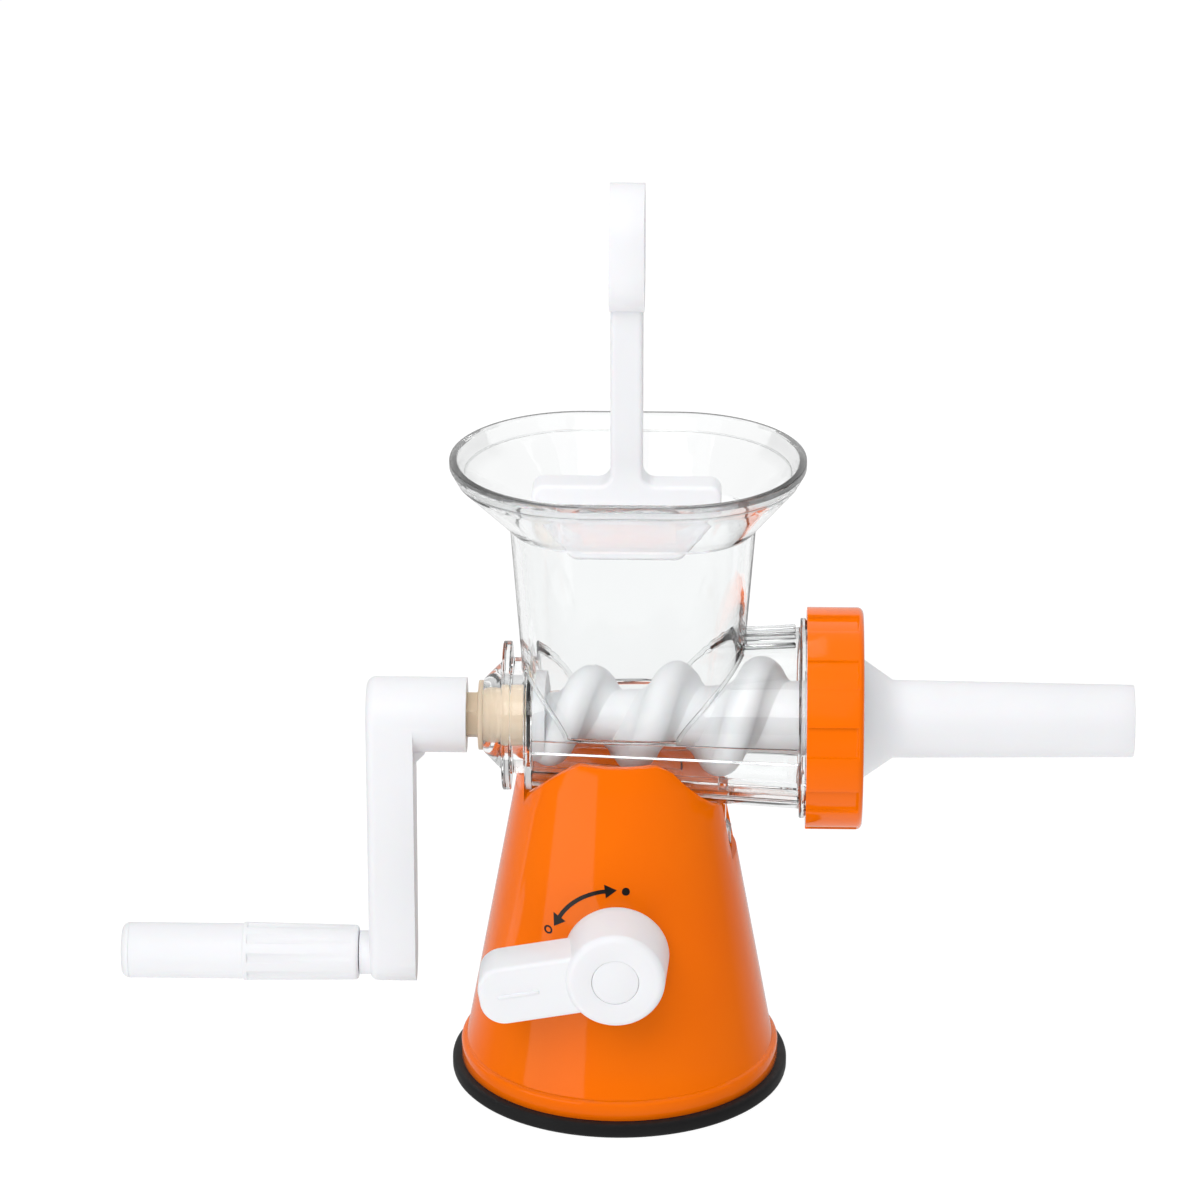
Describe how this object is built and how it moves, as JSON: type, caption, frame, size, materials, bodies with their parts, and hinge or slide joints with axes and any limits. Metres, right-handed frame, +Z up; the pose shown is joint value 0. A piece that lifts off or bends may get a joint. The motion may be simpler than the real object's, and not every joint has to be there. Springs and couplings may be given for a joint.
{
  "type": "hand crank meat grinder",
  "caption": "Tabletop meat grinder with a clear hopper and barrel, hand crank, auger, sausage filling tube, food pusher and a lever-operated suction foot.",
  "frame": {"origin": "centre of the suction foot, on the worktop", "axes": "+Z up, +X out of the filling tube along the barrel axis, -Y the front with the suction lever"},
  "size_m": [0.3321, 0.122, 0.3082],
  "materials": {
    "orange_plastic": "glossy moulded plastic",
    "white_plastic": "satin moulded plastic",
    "ivory_plastic": "plain moulded acetal",
    "clear_plastic": "clear polished plastic",
    "black_rubber": "soft matte rubber",
    "steel": "stainless steel"
  },
  "bodies": {
    "body": {"base_shell": "orange_plastic", "suction_cup": "black_rubber", "hopper_body": "clear_plastic", "shaft_bush": "ivory_plastic", "shaft_seal": "black_rubber", "hole_plate": "steel"},
    "crank": {"drive_shaft": "ivory_plastic", "auger": "white_plastic", "cross_knife": "steel", "crank_arm": "white_plastic", "grip_axle": "steel", "grip_screw": "steel"},
    "grip": {"hand_grip": "white_plastic", "grip_cap": "white_plastic"},
    "lever": {"suction_lever": "white_plastic", "cam_shaft": "steel", "shaft_clip": "steel", "lever_screw": "steel", "lever_cap": "white_plastic"},
    "rod": {"pull_rod": "ivory_plastic"},
    "outlet": {"stuffing_tube": "white_plastic"},
    "ring": {"ring_nut": "orange_plastic"},
    "plunger": {"pusher": "white_plastic"}
  },
  "joints": [
    {"name": "crank_turn", "type": "hinge", "parent": "body", "child": "crank", "pos_m": [0, 0, 0.126], "axis": [1, 0, 0], "continuous": true},
    {"name": "grip_spin", "type": "hinge", "parent": "crank", "child": "grip", "pos_m": [-0.12, 0, 0.04], "axis": [1, 0, 0], "continuous": true},
    {"name": "lever_turn", "type": "hinge", "parent": "body", "child": "lever", "pos_m": [0, -0.045, 0.0615], "axis": [0, 1, 0], "range_deg": [0, 90]},
    {"name": "suction_pull", "type": "slide", "parent": "body", "child": "rod", "axis": [0, 0, 1], "range_m": [0, 0.00424], "deforming": ["suction_cup"]},
    {"name": "outlet_slide", "type": "slide", "parent": "body", "child": "outlet", "axis": [1, 0, 0], "range_m": [0, 0.0081]},
    {"name": "ring_turn", "type": "hinge", "parent": "outlet", "child": "ring", "pos_m": [0.07, 0, 0.126], "axis": [1, 0, 0], "range_deg": [0, 720]},
    {"name": "pusher_slide", "type": "slide", "parent": "body", "child": "plunger", "axis": [0, 0, 1], "range_m": [-0.0335, 0.035]}
  ],
  "couplings": [
    {"joint": "suction_pull", "follows": "lever_turn", "m_per_rad": 0.002701},
    {"joint": "outlet_slide", "follows": "ring_turn", "m_per_rad": 0.00063662}
  ]
}
